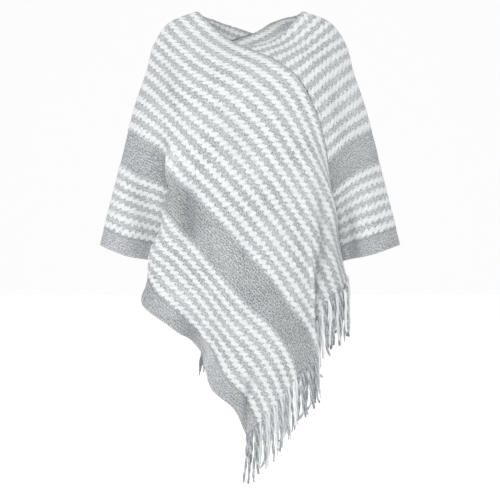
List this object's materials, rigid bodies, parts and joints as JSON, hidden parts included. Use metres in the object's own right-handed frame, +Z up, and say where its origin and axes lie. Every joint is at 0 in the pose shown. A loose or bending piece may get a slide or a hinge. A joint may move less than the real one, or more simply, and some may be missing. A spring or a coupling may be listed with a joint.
{
  "type": "knitted poncho sweater",
  "caption": "Striped knitted poncho sweater with a V neck, open sleeves and fringed points front and back, in its worn shape.",
  "frame": {"origin": "midway between the two places where the neck edge rests on the wearer's shoulders", "axes": "+Z up, -Y to the front of the garment, +X to the right seen from the front"},
  "size_m": [0.5988, 0.323, 0.9376],
  "materials": {
    "striped_knit_front": "striped wool knit, matte with a soft nap",
    "striped_knit_back": "striped wool knit, matte with a soft nap",
    "fringe_yarn": "loose wool yarn, matte"
  },
  "bodies": {
    "root": {"front_panel": "striped_knit_front", "back_panel": "striped_knit_back", "front_fringe": "fringe_yarn", "back_fringe": "fringe_yarn"}
  },
  "joints": []
}
